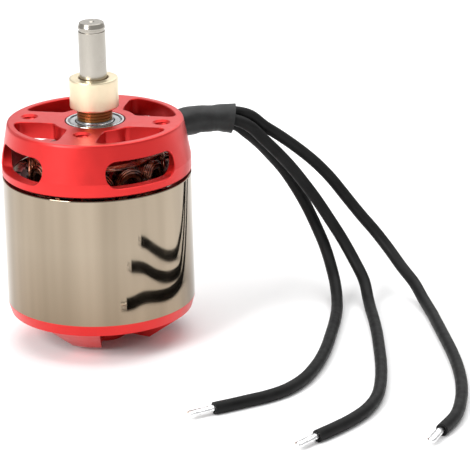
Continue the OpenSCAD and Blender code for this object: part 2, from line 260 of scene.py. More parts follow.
def spline(points, steps):
    """Catmull-Rom curve through points, with so many steps for each stretch."""
    p = np.array(points, float)
    p = np.vstack([2 * p[0] - p[1], p, 2 * p[-1] - p[-2]])
    out = []
    for i in range(1, len(p) - 2):
        a, b, c, d = p[i - 1:i + 3]
        for k in range(steps):
            t = k / steps
            out.append(0.5 * (2 * b + (c - a) * t + (2 * a - 5 * b + 4 * c - d) * t * t
                              + (3 * b - a - 3 * c + d) * t ** 3))
    out.append(p[-2])
    return np.array(out)


def frames_along(path, closed=False):
    """A tangent and two normals at each point of a path, turning as little as they can."""
    path = np.array(path, float)
    count = len(path)
    if closed:
        tangents = np.roll(path, -1, 0) - np.roll(path, 1, 0)
    else:
        tangents = np.gradient(path, axis=0)
    tangents /= np.linalg.norm(tangents, axis=1)[:, None]
    start = np.cross(tangents[0], (0, 0, 1) if abs(tangents[0][2]) < 0.9 else (0, 1, 0))
    normals = [start / np.linalg.norm(start)]
    for i in range(1, count):
        n = normals[-1] - tangents[i] * np.dot(normals[-1], tangents[i])
        normals.append(n / np.linalg.norm(n))
    normals = np.array(normals)
    return tangents, normals, np.cross(tangents, normals)


def tube(path, radius, sides, closed=False):
    """Points and faces of a tube. The radius is a number or a function of (share, angle)."""
    tangents, across, rise = frames_along(path, closed)
    count = len(path)
    points, faces = [], []
    for i in range(count):
        for k in range(sides):
            a = TAU * k / sides
            r = radius(i / (count - 1), a) if callable(radius) else radius
            points.append(tuple(np.array(path[i])
                                + r * (math.cos(a) * across[i] + math.sin(a) * rise[i])))
    for i in range(count if closed else count - 1):
        here, there = i * sides, (i + 1) % count * sides
        for k in range(sides):
            n = (k + 1) % sides
            faces.append((here + k, here + n, there + n, there + k))
    if not closed:
        faces.append(tuple(range(sides - 1, -1, -1)))
        faces.append(tuple(range((count - 1) * sides, count * sides)))
    return points, faces


# ---------------------------------------------------------------- materials

class Finish:
    """A node material built step by step around one principled shader."""

    def __init__(self, name, colour, metallic=0.0, roughness=0.5, **sockets):
        self.material = bpy.data.materials.new(name)
        self.material.use_nodes = True
        self.tree = self.material.node_tree
        self.shader = self.tree.nodes["Principled BSDF"]
        self.shader.inputs["Base Color"].default_value = (*colour, 1)
        self.shader.inputs["Metallic"].default_value = metallic
        self.shader.inputs["Roughness"].default_value = roughness
        for socket, value in sockets.items():
            self.shader.inputs[socket.replace("_", " ")].default_value = value
        self.place = self.node("ShaderNodeTexCoord").outputs["Object"]
        self.bump = None

    def node(self, kind, **values):
        made = self.tree.nodes.new(kind)
        for key, value in values.items():
            setattr(made, key, value)
        return made

    def link(self, start, end):
        self.tree.links.new(start, end)

    def scaled(self, scale):
        """Object coordinates times a vector."""
        mapping = self.node("ShaderNodeMapping")
        mapping.inputs["Scale"].default_value = scale
        self.link(self.place, mapping.inputs["Vector"])
        return mapping.outputs["Vector"]

    def noise(self, scale, detail=3.0, stretch=(1, 1, 1), roughness=0.55):
        """Noise with features about 1 / scale metres across."""
        texture = self.node("ShaderNodeTexNoise")
        texture.inputs["Scale"].default_value = scale
        texture.inputs["Detail"].default_value = detail
        texture.inputs["Roughness"].default_value = roughness
        self.link(self.scaled(stretch), texture.inputs["Vector"])
        return texture.outputs["Fac"]

    def round_angle(self):
        """Angle about the Z axis, and height."""
        split = self.node("ShaderNodeSeparateXYZ")
        self.link(self.place, split.inputs["Vector"])
        turn = self.node("ShaderNodeMath", operation="ARCTAN2")
        self.link(split.outputs["Y"], turn.inputs[0])
        self.link(split.outputs["X"], turn.inputs[1])
        return turn.outputs["Value"], split.outputs["Z"]

    def radius(self):
        """Distance from the Z axis."""
        flat = self.node("ShaderNodeVectorMath", operation="MULTIPLY")
        flat.inputs[1].default_value = (1, 1, 0)
        self.link(self.place, flat.inputs[0])
        length = self.node("ShaderNodeVectorMath", operation="LENGTH")
        self.link(flat.outputs["Vector"], length.inputs[0])
        return length.outputs["Value"]

    def ramp(self, source, low, high, start=0.3, end=0.7):
        """A number that goes from low to high as the source goes from start to end."""
        spread = self.node("ShaderNodeMapRange")
        spread.inputs["From Min"].default_value = start
        spread.inputs["From Max"].default_value = end
        spread.inputs["To Min"].default_value = low
        spread.inputs["To Max"].default_value = high
        self.link(source, spread.inputs["Value"])
        return spread.outputs["Result"]

    def colour_mix(self, source, blend):
        """A mix node for colours. Returns its two colour inputs and its result."""
        mix = self.node("ShaderNodeMix", data_type="RGBA", blend_type=blend)
        self.link(source, mix.inputs["Factor"])
        first, second = [socket for socket in mix.inputs if socket.type == "RGBA"]
        result = next(socket for socket in mix.outputs if socket.type == "RGBA")
        return first, second, result

    def colours(self, source, dark, light, start=0.3, end=0.7):
        """Base colour that goes from dark to light with the source."""
        first, second, result = self.colour_mix(self.ramp(source, 0, 1, start, end), "MIX")
        first.default_value = (*dark, 1)
        second.default_value = (*light, 1)
        self.link(result, self.shader.inputs["Base Color"])
        return self

    def tint(self, source, colour):
        """Multiplies the base colour by another one, as far as the source says."""
        first, second, result = self.colour_mix(source, "MULTIPLY")
        base = self.shader.inputs["Base Color"]
        self.link(base.links[0].from_socket, first)
        second.default_value = (*colour, 1)
        self.link(result, base)
        return self

    def rough(self, source, low, high, start=0.3, end=0.7):
        self.link(self.ramp(source, low, high, start, end), self.shader.inputs["Roughness"])
        return self

    def bumps(self, source, height_mm, strength=1.0):
        """Adds a bump of that height to those already there."""
        bump = self.node("ShaderNodeBump")
        bump.inputs["Distance"].default_value = height_mm * MM
        bump.inputs["Strength"].default_value = strength
        self.link(source, bump.inputs["Height"])
        if self.bump:
            self.link(self.bump, bump.inputs["Normal"])
        self.bump = bump.outputs["Normal"]
        self.link(self.bump, self.shader.inputs["Normal"])
        return self

    def rings(self, pitch_mm):
        """Fine turning marks: noise that changes along Z only."""
        return self.noise(1 / (pitch_mm * MM), 2.0, (0.004, 0.004, 1))


def red_anodised():
    """Bead-blasted aluminium under a red dye layer and a clear seal."""
    f = Finish("red_anodised", (0.65, 0.017, 0.016), 0.85, 0.4,
               Coat_Weight=0.4, Coat_Roughness=0.36)
    cloud = f.noise(90, 2)
    grain = f.noise(9000, 2)
    f.colours(cloud, (0.62, 0.014, 0.013), (0.68, 0.02, 0.018))
    f.rough(f.noise(400, 3), 0.34, 0.44)
    return f.bumps(grain, 0.012, 0.35).material


def dark_nickel():
    """Polished dark nickel plate, with painted highlight bands round the tube and painted shade
    darker towards the bell.
    """
    f = Finish("dark_nickel", (0.36, 0.30, 0.235), 1.0, 0.07)
    turn, height = f.round_angle()
    # painted highlight: broad light and dark bands round the can stand in for soft reflected
    # highlight strips
    painted_highlight_bands = f.node("ShaderNodeTexNoise", noise_dimensions="2D")
    pair = f.node("ShaderNodeCombineXYZ")
    f.link(turn, pair.inputs["X"])
    slow = f.node("ShaderNodeMath", operation="MULTIPLY")
    slow.inputs[1].default_value = 3.0
    f.link(height, slow.inputs[0])
    f.link(slow.outputs["Value"], pair.inputs["Y"])
    f.link(pair.outputs["Vector"], painted_highlight_bands.inputs["Vector"])
    painted_highlight_bands.inputs["Scale"].default_value = 3
    painted_highlight_bands.inputs["Detail"].default_value = 2
    f.colours(painted_highlight_bands.outputs["Fac"], (0.27, 0.22, 0.162), (0.375, 0.31, 0.235), 0.3, 0.72)
    # painted shade: the base colour darkens towards the bell, for the shaded floor near the motor
    # that the lower can reflects
    f.tint(f.ramp(height, 1, 0, CAN_LOW * MM, (CAN_HIGH - 10) * MM), (0.80, 0.75, 0.70))
    f.rough(f.noise(260, 4), 0.03, 0.07)
    f.bumps(f.noise(5000, 2, (1, 1, 0.05)), 0.002, 0.15)
    return f.material


def turned_brass():
    """Bright brass, with painted shade darkening the neck under the collar and the ring round the
    mouth.
    """
    f = Finish("turned_brass", (0.83, 0.72, 0.52), 1.0, 0.34)
    f.colours(f.noise(160, 3), (0.80, 0.69, 0.48), (0.86, 0.76, 0.56))
    # painted shade: the neck is darkened for the shadow under the collar and the red face that it
    # reflects
    f.tint(f.ramp(f.round_angle()[1], 1, 0, 2.3 * MM, 2.6 * MM), (0.34, 0.22, 0.10))
    # painted shade: darker round the mouth, in the recess where the collar meets the shaft
    f.tint(f.ramp(f.radius(), 1, 0, 2.6 * MM, 2.95 * MM), (0.30, 0.20, 0.10))
    f.rough(f.noise(300, 3), 0.32, 0.42)
    return f.bumps(f.rings(0.05), 0.004, 0.35).material


def ground_steel():
    f = Finish("ground_steel", (0.74, 0.71, 0.67), 1.0, 0.22)
    f.colours(f.noise(200, 3, (1, 1, 0.2)), (0.36, 0.335, 0.295), (0.45, 0.42, 0.375))
    f.rough(f.noise(500, 3), 0.2, 0.28)
    return f.bumps(f.rings(0.05), 0.003, 0.5).material


def bearing_steel():
    """Bright steel, with painted shade as a dark line round the outer race's edge."""
    f = Finish("bearing_steel", (0.62, 0.62, 0.62), 1.0, 0.15)
    f.rough(f.noise(1500, 2), 0.12, 0.2)
    f.colours(f.noise(600, 3), (0.60, 0.60, 0.61), (0.67, 0.67, 0.67))
    # painted shade: the outer race's edge chamfer is darkened for the shade in the groove between
    # race and cap
    f.tint(f.ramp(f.radius(), 0, 1, 5.35 * MM, 5.37 * MM), (0.06, 0.06, 0.06))
    return f.bumps(f.noise(4000, 2), 0.002, 0.2).material


def shield_steel():
    f = Finish("shield_steel", (0.44, 0.45, 0.46), 1.0, 0.28)
    f.rough(f.noise(1300, 3), 0.22, 0.36)
    f.colours(f.noise(500, 3), (0.40, 0.41, 0.42), (0.49, 0.50, 0.51))
    return f.bumps(f.noise(6000, 2), 0.003, 0.3).material


def cage_brass():
    f = Finish("cage_brass", (0.75, 0.55, 0.22), 1.0, 0.35)
    f.colours(f.noise(800, 3), (0.66, 0.46, 0.17), (0.80, 0.62, 0.28))
    return f.bumps(f.noise(5000, 2), 0.004, 0.3).material


def magnet_nickel():
    f = Finish("magnet_nickel", (0.55, 0.55, 0.55), 1.0, 0.25)
    f.rough(f.noise(700, 4), 0.18, 0.38)
    f.colours(f.noise(400, 3), (0.48, 0.48, 0.48), (0.6, 0.6, 0.6))
    return f.bumps(f.noise(3000, 2), 0.004, 0.3).material


def core_epoxy():
    """Steel sheets under black epoxy, whose edges show as fine ridges."""
    f = Finish("core_epoxy", (0.02, 0.02, 0.021), 0.0, 0.42, Specular_IOR_Level=0.6)
    wave = f.node("ShaderNodeTexWave", bands_direction="Z")
    sheet_t = 0.35 * MM
    wave.inputs["Scale"].default_value = math.pi / (20 * sheet_t)    # a wave for each two sheets
    wave.inputs["Distortion"].default_value = 0.4
    f.link(f.place, wave.inputs["Vector"])
    f.colours(f.noise(500, 4), (0.014, 0.014, 0.015), (0.04, 0.038, 0.036))
    f.bumps(wave.outputs["Fac"], 0.03, 0.6)
    return f.bumps(f.noise(2500, 3), 0.02, 0.4).material


def enamel_copper():
    """Copper wire under clear reddish enamel."""
    f = Finish("enamel_copper", (0.40, 0.10, 0.045), 0.9, 0.28,
               Coat_Weight=0.7, Coat_Roughness=0.12)
    f.colours(f.noise(700, 4), (0.05, 0.012, 0.008), (0.33, 0.10, 0.04), 0.38, 0.74)
    f.rough(f.noise(900, 2), 0.2, 0.38)
    return f.bumps(f.noise(3500, 2), 0.01, 0.3).material


def black_oxide():
    f = Finish("black_oxide", (0.03, 0.03, 0.032), 0.6, 0.42)
    f.colours(f.noise(1500, 3), (0.02, 0.02, 0.022), (0.05, 0.05, 0.052))
    return f.bumps(f.noise(5000, 2), 0.004, 0.4).material


def shrunk_sleeve():
    """Black polyolefin, drawn tight over what it holds."""
    f = Finish("shrunk_sleeve", (0.014, 0.015, 0.015), 0.0, 0.42, Specular_IOR_Level=0.3)
    f.colours(f.noise(300, 4), (0.009, 0.0095, 0.0095), (0.02, 0.021, 0.021))
    f.rough(f.noise(500, 3), 0.36, 0.52)
    f.bumps(f.noise(420, 3), 0.12, 0.35)
    return f.bumps(f.noise(4000, 2), 0.008, 0.3).material


def silicone():
    """Matte black silicone with a dusty bloom."""
    f = Finish("silicone", (0.006, 0.006, 0.006), 0.0, 0.5, Specular_IOR_Level=0.18)
    f.colours(f.noise(350, 5), (0.0025, 0.0025, 0.0025), (0.009, 0.009, 0.009), 0.35, 0.75)
    f.rough(f.noise(700, 3), 0.45, 0.62)
    f.bumps(f.noise(900, 2), 0.03, 0.3)
    return f.bumps(f.noise(7000, 2), 0.006, 0.35).material


def tinned_copper():
    f = Finish("tinned_copper", (0.83, 0.83, 0.84), 1.0, 0.2)
    f.rough(f.noise(1600, 3), 0.12, 0.34)
    f.colours(f.noise(900, 3), (0.84, 0.84, 0.85), (0.93, 0.93, 0.93))
    return f.bumps(f.noise(2500, 3), 0.02, 0.4).material


# ---------------------------------------------------------------- leads and sleeve

SLEEVE_PATH = [(8, 11, -5.5), (9, 12.7, -5.5), (10.1, 14.3, -5.5), (11.5, 16.2, -5.4),
               (13.1, 17.9, -5.3), (15, 19.4, -5.3), (17, 20.5, -5.4), (19.2, 21.4, -5.5),
               (21.5, 22.1, -5.7)]
SLEEVE_HALF = [(2.7, 2.2), (2.7, 2.2), (2.7, 2.2), (2.75, 2.45), (2.8, 2.7), (2.75, 2.6),
               (2.7, 2.55), (2.75, 2.7), (2.85, 2.85)]
LAYER_END = 0.77                         # where the shorter outer layer stops, along the sleeve
LEAD_D = 2.3
LEAD_R = LEAD_D / 2
HIDDEN_LEAD = 3.0                        # how far each lead reaches back into the sleeve
RIPPLE = 0.035                           # keeps the jacket's uneven surface within LEAD_R
LIE_Z = REST_Z + LEAD_R
TIP_L = 4.8
TIP_R = 0.65
ROUTES = {
    "lead_a": [(21.3, 22.6, -7), (23.3, 23.9, -8.9), (25.2, 26.2, -11.6), (27, 28.7, -14.8),
               (29.1, 30.5, -18.2), (31.3, 31.2, -21.9), (33.4, 31.1, -25.6),
               (35.3, 30.4, -29.2), (37.3, 28.7, -32.7), (39, 26.2, -36), (40.4, 23, -38.6),
               (41.4, 19, -40.3), (42.1, 14.5, LIE_Z), (42.7, 8.5, LIE_Z), (43.1, 2, LIE_Z),
               (43.4, -5, LIE_Z), (43.2, -12, LIE_Z), (42.2, -19, LIE_Z), (40.1, -24.6, LIE_Z),
               (37.2, -28.4, LIE_Z), (34.3, -30.9, LIE_Z), (31.6, -33.2, LIE_Z),
               (29, -35.3, LIE_Z)],
    "lead_b": [(22, 20.8, -5.6), (24.6, 21.6, -7.1), (26.7, 23.1, -9.8), (29.1, 24.5, -12.8),
               (31.4, 25.9, -16), (33.6, 27.2, -19.5), (36, 28.1, -23.3), (38.4, 28.6, -27.3),
               (40.9, 28.4, -31.2), (43.4, 27, -34.9), (45.7, 24.4, -37.9), (47.1, 20.7, -40.1),
               (48.4, 16.3, LIE_Z), (50, 10.5, LIE_Z), (51.6, 4, LIE_Z), (53.1, -3, LIE_Z),
               (54.5, -10, LIE_Z), (55.7, -17.5, LIE_Z), (56.3, -24.8, LIE_Z),
               (55.6, -31, LIE_Z), (53.8, -36.2, LIE_Z), (51.5, -40.5, LIE_Z), (49, -44.5, LIE_Z)],
    "lead_c": [(21.4, 22.9, -4.6), (24.1, 24.1, -5.6), (26.5, 25.5, -8), (29.3, 27.3, -10.5),
               (32.2, 29.3, -13.4), (35.1, 31.2, -16.6), (37.9, 32.7, -20.2),
               (40.7, 33.5, -24.1), (43.6, 33.7, -27.8), (46.6, 33.1, -31), (49.5, 31.7, -34),
               (52.4, 29.1, -36.6), (55.3, 26, -38.6), (57.6, 22, -40.2), (59.7, 17.3, LIE_Z),
               (61.9, 11, LIE_Z), (64.3, 4, LIE_Z), (66.6, -3, LIE_Z), (68.6, -10, LIE_Z),
               (70.2, -17.5, LIE_Z), (71.1, -25, LIE_Z), (71.1, -32, LIE_Z), (69.6, -38.5, LIE_Z)],
}


def make_sleeve():
    """Heat-shrink sleeve: two layers, oval at the window, wrinkled, flared at its cut end."""
    sides = 48
    path = spline(SLEEVE_PATH, 10)
    sizes = spline(SLEEVE_HALF, 10)
    ways, across, rise = frames_along(path)
    last = len(path) - 1
    rng = random.Random(5)
    folds = [(rng.uniform(0.45, 0.93), rng.uniform(0, TAU), rng.uniform(0.02, 0.05),
              rng.choice((-1, 1)) * rng.uniform(0.05, 0.1)) for _ in range(18)]
    folds.append((LAYER_END + 0.035, 0.6, 0.02, 0.1))

    def radius(share, angle, size):
        base = 1 / math.hypot(math.cos(angle) / size[0], math.sin(angle) / size[1])
        layer = 0.1 / (1 + math.exp((share - LAYER_END) / 0.004)) * min(1, share * 4) - 0.08
        crease = sum(depth * math.exp(-((share - at) / width) ** 2)
                     * max(0, math.cos(angle - turn)) ** 3
                     for at, turn, width, depth in folds)
        lobes = 0.1 * max(0, share - 0.6) / 0.4 * math.cos(3 * angle - 0.3)
        flare = max(0, share - 0.93) / 0.07 * (0.05 + 0.14 * max(0, math.cos(angle - 1.9)))
        return base + layer + crease + lobes + flare

    def ring(i, inset):
        points = []
        share = i / last
        for k in range(sides):
            angle = TAU * k / sides
            r = radius(share, angle, sizes[i]) - inset
            slant = -0.3 * share ** 12 * (1 + math.sin(angle))
            points.append(tuple(path[i] + slant * ways[i] + r * (math.cos(angle) * across[i]
                                                                 + math.sin(angle) * rise[i])))
        return points

    loop = [ring(i, 0) for i in range(last + 1)] + [ring(i, 0.3) for i in range(last, -1, -1)]
    points = [p for r in loop for p in r]
    faces = []
    for i in range(len(loop)):
        here, there = i * sides, (i + 1) % len(loop) * sides
        for k in range(sides):
            n = (k + 1) % sides
            faces.append((here + k, here + n, there + n, there + k))
    sleeve = smooth(joined("heat_shrink_sleeve", [(points, faces)]), 50)
    return finish_piece(sleeve, "stator", shrunk_sleeve(), ["heat_shrink"])


def hidden_start(point):
    """Where a lead that leaves the sleeve at a point begins, inside the sleeve."""
    path = spline(SLEEVE_PATH, 10)
    ways, across, rise = frames_along(path)
    off = np.array(point) - path[-1]
    run = np.cumsum(np.linalg.norm(np.diff(path[::-1], axis=0), axis=1))
    back = len(path) - 2 - int(np.searchsorted(run, HIDDEN_LEAD))
    return tuple(path[back] + off.dot(across[-1]) * across[back] + off.dot(rise[-1]) * rise[back])


def make_lead(name, route, rubber, tin):
    """One lead with its tinned end. Returns both and the lead's path."""
    path = spline([hidden_start(route[0])] + route, 12)
    path[:, 2] = np.maximum(path[:, 2], LIE_Z)
    rng = random.Random(name)
    waves = [(rng.uniform(2, 9), rng.uniform(0, TAU), rng.uniform(0.003, 0.009))
             for _ in range(6)]

    def lead_radius(share, angle):
        return LEAD_R - RIPPLE + sum(size * math.sin(TAU * rate * share + phase + angle)
                                    for rate, phase, size in waves)

    sides = 24
    points, faces = tube(path, lead_radius, sides)
    faces.pop()                          # the cut end gets a rim and a well instead
    way = path[-1] - path[-2]
    way /= np.linalg.norm(way)
    rim = len(points) - sides
    centre = path[-1]
    for inset, depth in ((0.08, -0.03), (0.45, -0.03), (0.5, 0.5)):
        for k in range(sides):
            p = np.array(points[rim + k]) - centre
            points.append(tuple(centre + p * (1 - inset / LEAD_R) - way * depth))
    for i in range(3):
        here, there = rim + i * sides, rim + (i + 1) * sides
        for k in range(sides):
            n = (k + 1) % sides
            faces.append((here + k, here + n, there + n, there + k))
    last = rim + 3 * sides
    faces.append(tuple(range(last, last + sides)))
    lead = smooth(joined(name + "_jacket", [(points, faces)]), 60)
    finish_piece(lead, "stator", rubber, [name])

    tip_name = name.replace("lead", "lead_tip")
    tip = make_tip(tip_name, centre, way, rng)
    finish_piece(tip, "stator", tin, [tip_name])
    return lead, tip, path


def make_tip(name, centre, way, rng):
    """Twisted strands under solder, a little flattened and bent at the end."""
    steps = 40
    bend = np.cross(way, (0, 0, 1))
    points = []
    for i in range(steps + 1):
        share = i / steps
        points.append(centre + way * (share * (TIP_L + 0.9) - 0.45)
                      + bend * 0.12 * math.sin(share * 3.0 + rng.random() * 0.05))
    lobes = 9

    def tip_radius(share, angle):
        strand = 0.02 * abs(math.sin(lobes / 2 * (angle + share * 2.2)))
        blob = 0.05 * math.sin(share * 5 + 1) * math.cos(angle)
        taper = min(1, (1.02 - share) * 9) ** 0.5
        press = min(1, share * 3)
        flat = 1 / math.hypot(math.cos(angle) / (1 + 0.28 * press),
                              math.sin(angle) / (1 - 0.22 * press))
        return (TIP_R - 0.03 + strand + blob) * flat * taper

    return smooth(joined(name + "_strands", [tube(points, tip_radius, 54)]), 50)


def make_cords():
    rubber, tin = silicone(), tinned_copper()
    sleeve = make_sleeve()
    for name, route in ROUTES.items():
        lead, tip, path = make_lead(name, route, rubber, tin)


# ---------------------------------------------------------------- end cap

CAN_R = 17.5
FACE_R = 16.3
CAP_H = 9.5
SLOPE_H = 7.0
PLATE_T = 3.0
SKIRT_T = 1.9
TUBE_R = 6.8                             # the tube that holds both bearings
TUBE_LOW = -33.0
BEARING_R = 5.5
BEARING_H = 4.0
STEP_R = 4.6                             # between the bearings, the tube is narrower
HOLE_R = 1.25
HOLE_MOUTH_R = 1.66
THREAD_PITCH = 0.5
MOUNT_HOLES = ((12.5, 0), (-12.5, 0), (0, 9.5), (0, -9.5))
EDGE = 0.4
LIP = 0.14                               # width of the broken edge round each opening


def cap_radius(z):
    """Radius of the cap's outside at a height."""
    if z <= -SLOPE_H:
        return CAN_R
    return FACE_R + (CAN_R - FACE_R) * (-z - EDGE) / (SLOPE_H - EDGE)


def kidney_outline(grow):
    """One opening of the face plate, with round corners."""
    arm, inner, outer, corner = 3.5, 7.65, 14.9, 1.2
    side = arm + corner
    far = math.sqrt((outer - corner) ** 2 - side ** 2)
    near = math.sqrt((inner + corner) ** 2 - side ** 2)
    far_turn, near_turn = math.atan2(side, far), math.atan2(side, near)
    r = corner + grow
    quarter = math.pi / 2
    return (arc((0, 0), outer + grow, far_turn, quarter - far_turn, 28)
            + arc((side, far), r, quarter - far_turn, 2 * quarter, 8)
            + arc((side, near), r, 2 * quarter, 3 * quarter - near_turn, 6)
            + arc((0, 0), inner - grow, quarter - near_turn, near_turn, 12)[1:-1]
            + arc((near, side), r, 2 * quarter + near_turn, 3 * quarter, 6)
            + arc((far, side), r, 3 * quarter, 4 * quarter + far_turn, 8)[:-1])


def window_outline(grow):
    """One side window, flat: points (along, height)."""
    half_w, half_h, corner, middle = 7.2, 2.45, 2.2, -5.55
    x, z = half_w - corner, half_h - corner
    r = corner + grow
    quarter = math.pi / 2
    top = [(x - 2 * x * i / 12, middle + z + r) for i in range(1, 12)]
    bottom = [(-x + 2 * x * i / 12, middle - z - r) for i in range(1, 12)]
    return (arc((x, middle + z), r, 0, quarter, 8) + top
            + arc((-x, middle + z), r, quarter, 2 * quarter, 8)
            + arc((-x, middle - z), r, 2 * quarter, 3 * quarter, 8) + bottom
            + arc((x, middle - z), r, 3 * quarter, 4 * quarter, 8))


def window_cutter(angle):
    def ring(grow, out, reach=None):
        points = []
        for along, z in window_outline(grow):
            x = reach if reach else math.sqrt(cap_radius(z) ** 2 - along ** 2) + out
            points.append((x, along, z))
        return turned(points, angle)
    return loft("cutter", [ring(0, 0, 9), ring(0, -LIP), ring(LIP, 0.02), ring(LIP, 0, 22)])


def kidney_cutter(angle):
    def ring(grow, z):
        return turned([(x, y, z) for x, y in kidney_outline(grow)], angle)
    return loft("cutter", [ring(0, -PLATE_T - 0.8), ring(0, -LIP), ring(LIP, 0.001),
                           ring(LIP, 1)])


def thread_cutter(x, y, radius, mouth_r, pitch, depth):
    """A tapped hole: a ridged wall and a countersunk mouth."""
    def ring(r, z):
        return [(x + r * math.cos(TAU * k / 40), y + r * math.sin(TAU * k / 40), z)
                for k in range(40)]
    mouth = mouth_r - radius
    turns = int((depth - mouth) / pitch)
    rings = [ring(radius, -depth)]
    for i in range(turns):
        z = -depth + 0.1 + i * pitch
        rings += [ring(radius, z), ring(radius + 0.16, z + pitch / 2)]
    rings += [ring(radius, -mouth), ring(mouth_r, 0.0), ring(mouth_r + 0.3, 0.3)]
    return loft("cutter", rings)


def make_end_cap(red):
    skirt_r = CAN_R - SKIRT_T
    profile = [(BEARING_R, -0.3), (BEARING_R + 0.07, -0.06), (BEARING_R + 0.16, 0),
               (FACE_R - EDGE, 0), (FACE_R - 0.12, -0.1), (FACE_R, -EDGE), (CAN_R, -SLOPE_H),
               (CAN_R, 0.2 - CAP_H), (CAN_R - 0.2, -CAP_H), (skirt_r, -CAP_H),
               (skirt_r, -PLATE_T - 1), (skirt_r - 0.7, -PLATE_T), (TUBE_R + 0.5, -PLATE_T),
               (TUBE_R, -PLATE_T - 0.5), (TUBE_R, TUBE_LOW), (BEARING_R, TUBE_LOW),
               (BEARING_R, TUBE_LOW + BEARING_H), (STEP_R, TUBE_LOW + BEARING_H),
               (STEP_R, -BEARING_H), (BEARING_R, -BEARING_H)]
    cap = lathe("end_cap_shell", profile, 256)
    cutters = [kidney_cutter(a) for a in (0, 90, 180, 270)]
    cutters += [window_cutter(a) for a in (45, 135, 225, 315)]
    cutters += [thread_cutter(x, y, HOLE_R, HOLE_MOUTH_R, THREAD_PITCH, PLATE_T + 0.5)
                for x, y in MOUNT_HOLES]
    carve(cap, cutters)
    smooth(cap, 28)
    finish_piece(cap, "stator", red, ["end_cap"])


# ---------------------------------------------------------------- rotor

CAN_HIGH = -CAP_H - 0.55
CAN_LOW = CAN_HIGH - 24
BAND_LOW = CAN_LOW - 2.05
BELL_LOW = REST_Z + 1
BELL_TURN = -3
ARM_HALF = 15.7
SCREW_Z = -38
SHAFT_R = 2.5
INNER_RING_R = 3.45                      # outside of a bearing's inner ring
OUTER_RING_R = 4.65                      # inside of its outer ring
SHIELD_R = 4.97                          # the step that a shield sits in


def bell_window_cutter(angle):
    """The gap between two arms, from below the hub up to the band."""
    half, hub, corner = math.radians(45 - ARM_HALF), 5.0, 0.8

    def outline():
        line_turn = math.asin(corner / (hub + corner))
        turn = half - line_turn
        centre = ((hub + corner) * math.cos(turn), (hub + corner) * math.sin(turn))
        far = 24
        upper = (far, far * math.tan(half))
        corner_points = arc(centre, corner, math.pi / 2 + half, math.pi + turn, 6)
        hub_points = arc((0, 0), hub, turn, -turn, 16)[1:-1]
        lower = [(x, -y) for x, y in reversed(corner_points)]
        return [upper] + corner_points + hub_points + lower + [(upper[0], -upper[1])]

    def ring(z):
        return turned([(x, y, z) for x, y in outline()], angle)

    return loft("cutter", [ring(REST_Z - 1), ring(BAND_LOW)])


def radial_cutter(angle, radius, z, start, end):
    rings = []
    for x in (start, end):
        rings.append(turned([(x, radius * math.cos(TAU * k / 32),
                              z + radius * math.sin(TAU * k / 32)) for k in range(32)], angle))
    return loft("cutter", rings)


def make_bell(red):
    hub = 4.6
    profile = [(CAN_R, CAN_LOW), (CAN_R, CAN_LOW - 0.15), (CAN_R - 0.55, BAND_LOW),
               (10.35, BELL_LOW + 0.05), (10.2, BELL_LOW), (hub + 0.1, BELL_LOW),
               (hub, BELL_LOW - 0.1), (hub, REST_Z + 0.3), (hub - 0.3, REST_Z),
               (2.7, REST_Z), (SHAFT_R, REST_Z + 0.2), (SHAFT_R, -33.7), (hub, -33.7),
               (hub, BELL_LOW + 1.7), (hub + 0.3, BELL_LOW + 2), (9.8, BELL_LOW + 2),
               (14.9, BAND_LOW + 1), (14.9, -31.2), (16.2, -31.2), (16.2, CAN_LOW)]
    bell = lathe("bell_shell", profile, 256)
    cutters = [bell_window_cutter(BELL_TURN + 45 + 90 * k) for k in range(4)]
    cutters += [radial_cutter(BELL_TURN + side * 45, 1.25, SCREW_Z, 1.5, 6)
                for side in (-1, 1)]
    carve(bell, cutters)
    smooth(bell, 28)
    finish_piece(bell, "rotor", red, ["bell"])


def make_can():
    inner = CAN_R - 1.3
    profile = [(inner, CAN_LOW), (CAN_R, CAN_LOW), (CAN_R, CAN_HIGH - 0.2),
               (CAN_R - 0.06, CAN_HIGH - 0.06), (CAN_R - 0.2, CAN_HIGH),
               (inner + 0.2, CAN_HIGH), (inner, CAN_HIGH - 0.2)]
    can = smooth(lathe("can_tube", profile, 360))
    finish_piece(can, "rotor", dark_nickel(), ["flux_can"])


def make_shaft(steel):
    """A ground rod with a relief at the collar's mouth, a clip groove and a centred tip."""
    low, high = (corner.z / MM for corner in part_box("shaft"))
    r, relief, groove, flat = SHAFT_R, 7.6, 16.85, 2.2
    profile = [(0, low), (r - 0.3, low), (r, low + 0.3), (r, relief), (r - 0.2, relief + 0.02),
               (r - 0.2, relief + 0.48), (r, relief + 0.5), (r, groove - 0.04),
               (r - 0.04, groove), (r - 0.22, groove + 0.02), (r - 0.22, groove + 0.48),
               (r - 0.04, groove + 0.5), (r, groove + 0.54), (r, high - 0.85),
               (r - 0.04, high - 0.72), (r - 0.26, high - 0.06), (r - 0.34, high),
               (0.55, high), (0.5, high - 0.04), (0, high - 0.55)]
    shaft = smooth(lathe_solid("shaft_rod", profile, 128), 25)
    cutters = []
    for side in (-1, 1):
        corners = ((-3, -2), (3, -2), (3, 2), (-3, 2))
        faces = [turned([(x, y, SCREW_Z + z) for y, z in corners], BELL_TURN + side * 45)
                 for x in (flat, 4)]
        cutters.append(loft("cutter", faces))
    carve(shaft, cutters)
    smooth(shaft, 25)
    finish_piece(shaft, "rotor", steel, ["shaft"])


def make_collar(brass):
    top, low, r, neck = 8.1, 2.5, 4.5, 3.25
    profile = [(SHAFT_R, 0.25), (neck - 0.1, 0.25), (neck, 0.35)]
    for groove in (0.75, 1.3, 1.85):
        profile += [(neck, groove), (neck - 0.16, groove + 0.08), (neck - 0.16, groove + 0.2),
                    (neck, groove + 0.28)]
    profile += [(neck, low - 0.1), (neck + 0.1, low),
               (r - 0.3, low), (r - 0.08, low + 0.08), (r, low + 0.3), (r, top - 0.3),
               (r - 0.08, top - 0.08), (r - 0.3, top), (2.85, top), (SHAFT_R, top - 0.35)]
    collar = lathe("collar_ring", profile, 160)
    carve(collar, [radial_cutter(90, 1.0, 5.3, 1.5, 7)])
    smooth(collar, 28)
    finish_piece(collar, "rotor", brass, ["collar"])


# ---------------------------------------------------------------- bearings

